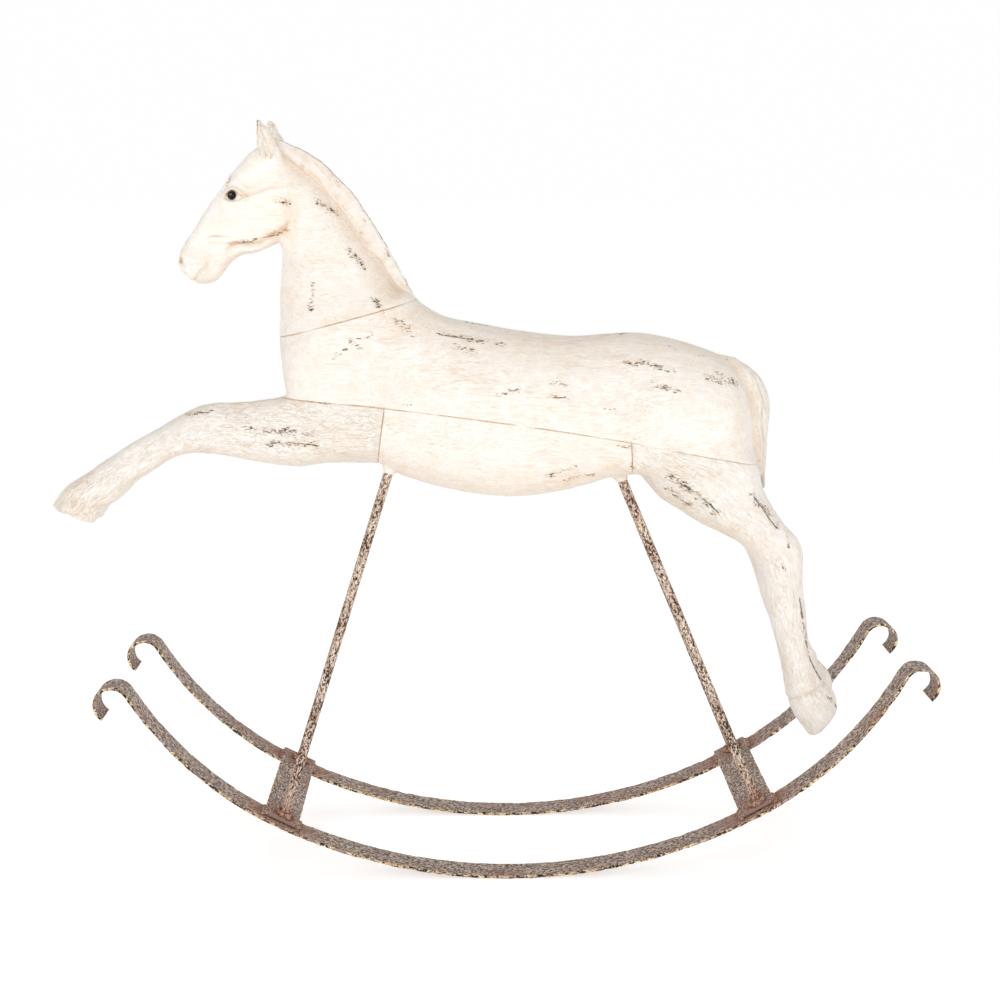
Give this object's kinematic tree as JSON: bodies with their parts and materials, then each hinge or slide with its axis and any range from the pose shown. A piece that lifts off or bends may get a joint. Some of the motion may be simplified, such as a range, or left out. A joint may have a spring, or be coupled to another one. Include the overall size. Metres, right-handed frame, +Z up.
{
  "type": "rocking horse",
  "caption": "Decorative rocking horse: carved, block-built cream horse reaching forward, held by round rods over two flat-bar rockers with curled ends.",
  "frame": {"origin": "on the floor, at the middle of the overall bounding box", "axes": "+Z up, the horse faces -X, its left side faces -Y, the rockers roll about Y"},
  "size_m": [0.806, 0.196, 0.678],
  "materials": {
    "painted_wood": "cream paint with a tan glaze in the grain, chipped in places",
    "dowel_wood": "bare hardwood dowel",
    "eye_glass": "polished black",
    "bar_steel": "mottled grey-brown, dull, rust at the welds",
    "rod_steel": "worn beige paint with black and rust specks",
    "weld_steel": "rusty weld bead"
  },
  "bodies": {
    "root": {"head_neck": "painted_wood", "torso": "painted_wood", "belly": "painted_wood", "left_foreleg": "painted_wood", "right_foreleg": "painted_wood", "left_hind_leg": "painted_wood", "right_hind_leg": "painted_wood", "mane": "painted_wood", "tail": "painted_wood", "left_ear": "painted_wood", "right_ear": "painted_wood", "left_eye": "eye_glass", "right_eye": "eye_glass", "neck_dowels": "dowel_wood", "left_foreleg_dowels": "dowel_wood", "right_foreleg_dowels": "dowel_wood", "left_hind_dowels": "dowel_wood", "right_hind_dowels": "dowel_wood", "belly_dowels": "dowel_wood", "tail_peg": "dowel_wood", "left_rocker": "bar_steel", "right_rocker": "bar_steel", "front_cross_plate": "bar_steel", "rear_cross_plate": "bar_steel", "front_left_rod": "rod_steel", "front_right_rod": "rod_steel", "rear_left_rod": "rod_steel", "rear_right_rod": "rod_steel", "rod_foot_welds": "weld_steel", "plate_welds": "weld_steel"}
  },
  "joints": []
}
